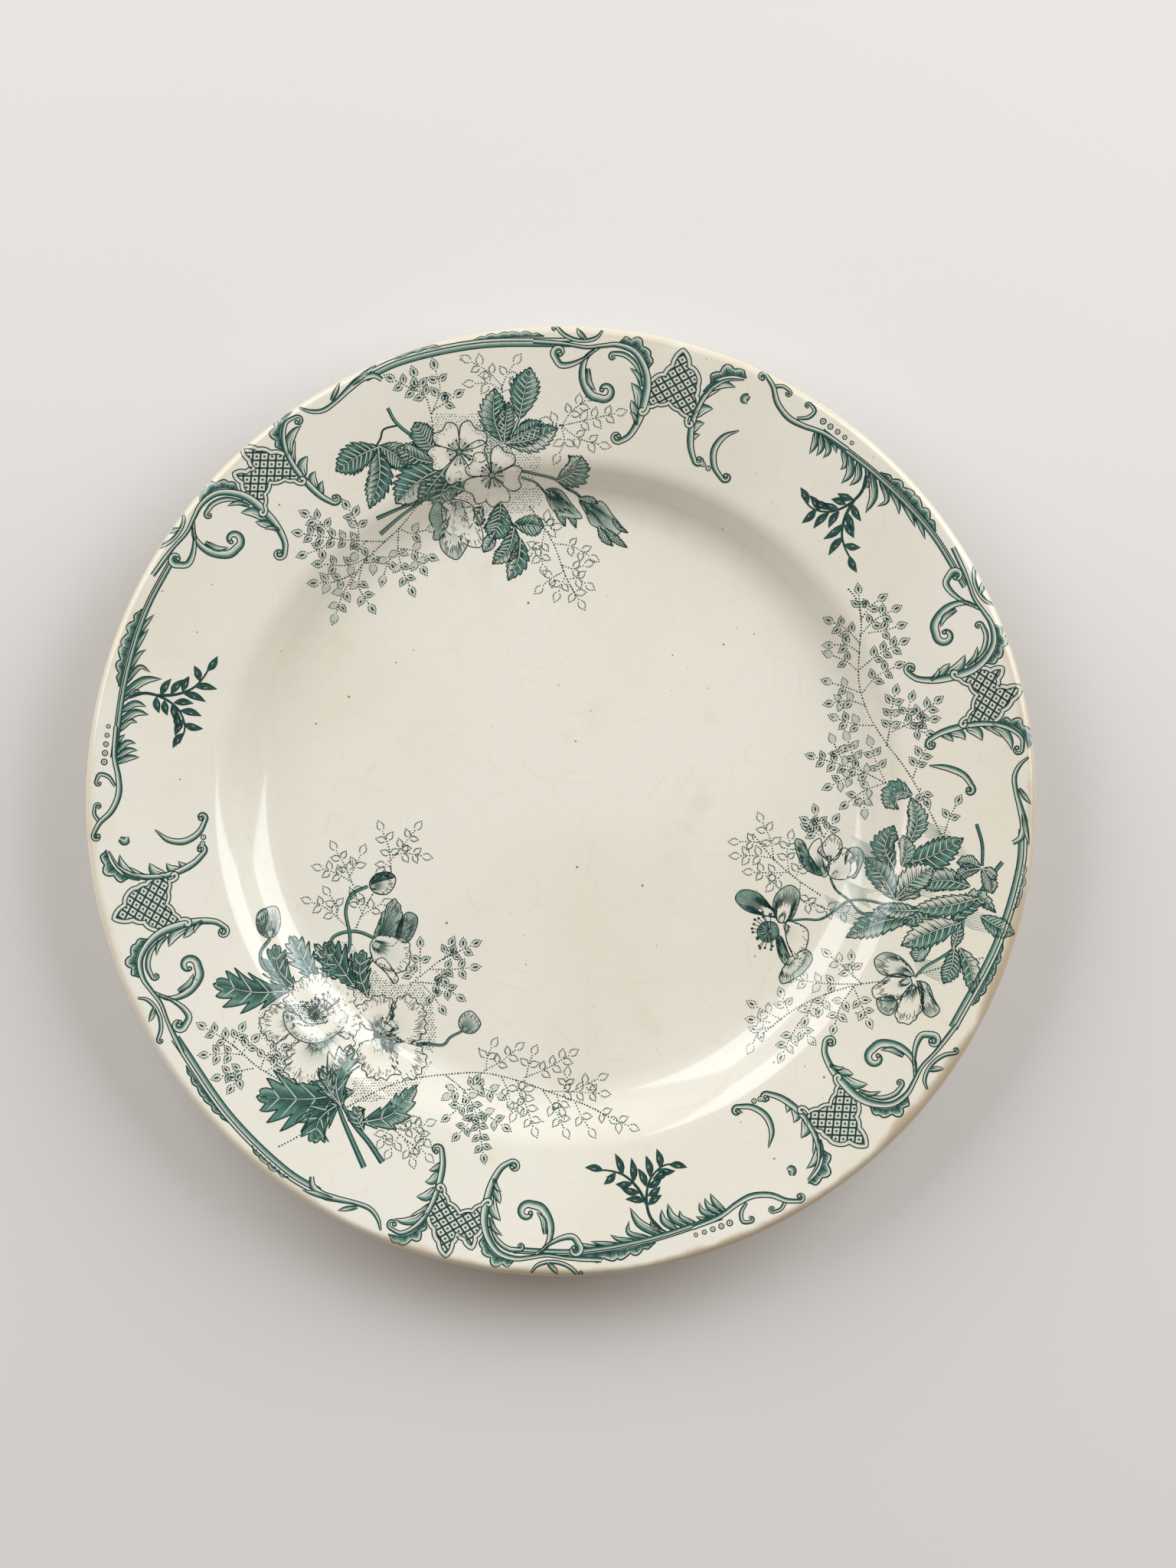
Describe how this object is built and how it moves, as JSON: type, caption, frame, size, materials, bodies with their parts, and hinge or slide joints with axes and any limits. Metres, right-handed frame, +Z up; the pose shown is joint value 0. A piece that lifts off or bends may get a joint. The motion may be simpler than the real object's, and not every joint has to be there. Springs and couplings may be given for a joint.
{
  "type": "dinner plate",
  "caption": "Round earthenware dinner plate with a broad sloping rim, a shallow flat well and a foot ring, glazed all over except the tread, with a green floral and scroll print.",
  "frame": {"origin": "centre of the foot ring's tread, on the surface that the plate stands on", "axes": "+Z up along the plate's axis, from the foot to the face; +Y towards the top of the print as it is seen when the plate is displayed upright, +X to its right"},
  "size_m": [0.24, 0.24, 0.024],
  "materials": {
    "biscuit": "bare fired earthenware, matt, seen only on the foot's tread",
    "glaze": "glossy cream glaze, faintly crazed, with specks",
    "print": "blue-green engraved print under the glaze"
  },
  "bodies": {
    "root": {"biscuit_body": "biscuit", "glaze_coat": "glaze", "glaze_inside_foot": "glaze"}
  },
  "joints": []
}
